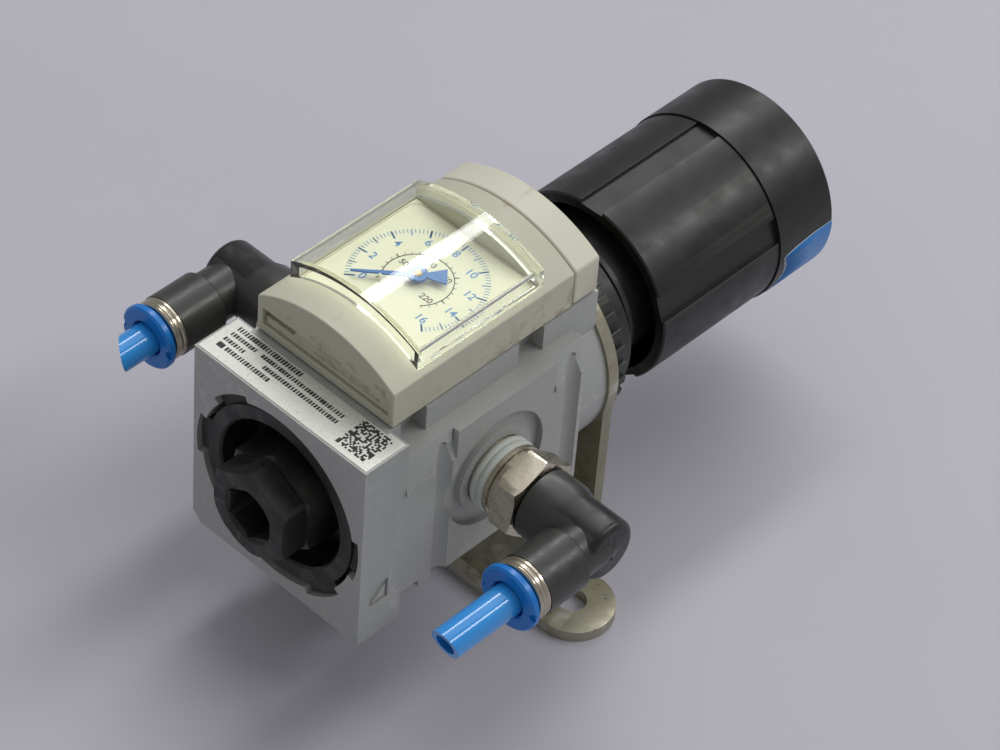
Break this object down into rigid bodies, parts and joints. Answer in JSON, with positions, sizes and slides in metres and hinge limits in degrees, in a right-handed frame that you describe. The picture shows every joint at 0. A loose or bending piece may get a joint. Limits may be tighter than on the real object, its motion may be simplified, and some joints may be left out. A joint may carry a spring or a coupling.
{
  "type": "air pressure regulator",
  "caption": "In-line air pressure regulator with square cast body, side gauge, adjusting knob, swivelling push-in elbows and an angle mounting bracket.",
  "frame": {"origin": "on the wall face of the mounting bracket, on its centre line at the height of the two slots", "axes": "+Y along the regulator axis from the plug to the knob; +Z from the wall face up through the gauge; +X through the ports towards the port on the right when seen from the plug end"},
  "size_m": [0.0958, 0.1256, 0.0726],
  "materials": {
    "cast_body": "bead-blasted, painted light grey",
    "label_silver": "speckled silver film",
    "black_plastic": "satin moulded",
    "rubber": "matte",
    "brass": "turned",
    "spring_steel": "drawn wire",
    "zinc_steel": "yellowish zinc plate",
    "blue_label": "printed film",
    "cream_plastic": "fine moulded texture",
    "clear_plastic": "clear",
    "dial_white": "printed",
    "pointer_blue": "painted",
    "nickel": "nickel plated",
    "blue_plastic": "smooth",
    "white_coat": "thread coating"
  },
  "bodies": {
    "housing": {"body_casting": "cast_body", "bonnet": "black_plastic", "bourdon_tube": "brass", "bracket": "zinc_steel", "clip_plate": "cream_plastic", "dial": "dial_white", "diaphragm": "rubber", "fitting_stem_left": "nickel", "fitting_stem_right": "nickel", "gauge_base": "brass", "gauge_housing": "cream_plastic", "gauge_seal": "rubber", "lens": "clear_plastic", "lock_nut": "black_plastic", "main_spring": "spring_steel", "movement_plate": "brass", "plug_seal": "rubber", "rating_label": "label_silver", "rear_cover": "cream_plastic", "stop_pin": "dial_white", "swivel_seal_left": "rubber", "swivel_seal_right": "rubber", "thread_coat_left": "white_coat", "thread_coat_right": "white_coat", "valve_plug": "black_plastic", "valve_seat": "brass", "valve_spring": "spring_steel"},
    "poppet": {"valve_poppet": "brass", "poppet_seal": "rubber"},
    "pressure_plate": {"diaphragm_plate": "cast_body"},
    "nut_plate": {"spring_plate": "zinc_steel"},
    "spindle": {"adjusting_spindle": "zinc_steel"},
    "knob": {"knob": "black_plastic", "knob_cap": "black_plastic", "knob_label": "blue_label"},
    "pointer": {"pointer": "pointer_blue", "pointer_shaft": "brass"},
    "sector": {"sector_gear": "brass"},
    "elbow_left": {"elbow_left": "black_plastic", "collar_ring_left": "nickel", "tube_seal_left": "rubber", "grip_ring_left": "spring_steel", "tube_left": "blue_plastic"},
    "release_left": {"release_ring_left": "blue_plastic"},
    "elbow_right": {"elbow_right": "black_plastic", "collar_ring_right": "nickel", "tube_seal_right": "rubber", "grip_ring_right": "spring_steel", "tube_right": "blue_plastic"},
    "release_right": {"release_ring_right": "blue_plastic"}
  },
  "joints": [
    {"name": "screw_turn", "type": "hinge", "parent": "housing", "child": "spindle", "pos_m": [0, 0.0537, 0.0363], "axis": [0, -1, 0], "range_deg": [0, 2160]},
    {"name": "nut_plate_travel", "type": "slide", "parent": "housing", "child": "nut_plate", "axis": [0, -1, 0], "range_m": [0, 0.009], "deforming": ["main_spring"]},
    {"name": "knob_pull", "type": "slide", "parent": "spindle", "child": "knob", "axis": [0, 1, 0], "range_m": [0, 0.003]},
    {"name": "diaphragm_travel", "type": "slide", "parent": "housing", "child": "pressure_plate", "axis": [0, -1, 0], "range_m": [0, 0.0012], "stiffness_N_per_m": 1500, "deforming": ["diaphragm", "main_spring"]},
    {"name": "valve_lift", "type": "slide", "parent": "housing", "child": "poppet", "axis": [0, -1, 0], "range_m": [0, 0.0012], "deforming": ["valve_spring"]},
    {"name": "sector_turn", "type": "hinge", "parent": "housing", "child": "sector", "pos_m": [0, -0.0044, 0.0623], "axis": [0, 0, 1], "range_deg": [0, 47.2]},
    {"name": "pointer_turn", "type": "hinge", "parent": "housing", "child": "pointer", "pos_m": [0, -0.0124, 0.0663], "axis": [0, 0, -1], "range_deg": [0, 264]},
    {"name": "swivel_left", "type": "hinge", "parent": "housing", "child": "elbow_left", "pos_m": [-0.0418, -0.012, 0.0363], "axis": [-1, 0, 0], "continuous": true},
    {"name": "release_left", "type": "slide", "parent": "elbow_left", "child": "release_left", "axis": [0, 1, 0], "range_m": [0, 0.0007], "stiffness_N_per_m": 500},
    {"name": "swivel_right", "type": "hinge", "parent": "housing", "child": "elbow_right", "pos_m": [0.0418, -0.012, 0.0363], "axis": [1, 0, 0], "continuous": true},
    {"name": "release_right", "type": "slide", "parent": "elbow_right", "child": "release_right", "axis": [0, 1, 0], "range_m": [0, 0.0007], "stiffness_N_per_m": 500}
  ],
  "couplings": [
    {"joint": "nut_plate_travel", "follows": "screw_turn", "m_per_rad": 0.0002387},
    {"joint": "valve_lift", "follows": "diaphragm_travel", "ratio": 1},
    {"joint": "pointer_turn", "follows": "sector_turn", "ratio": 5.5833}
  ]
}
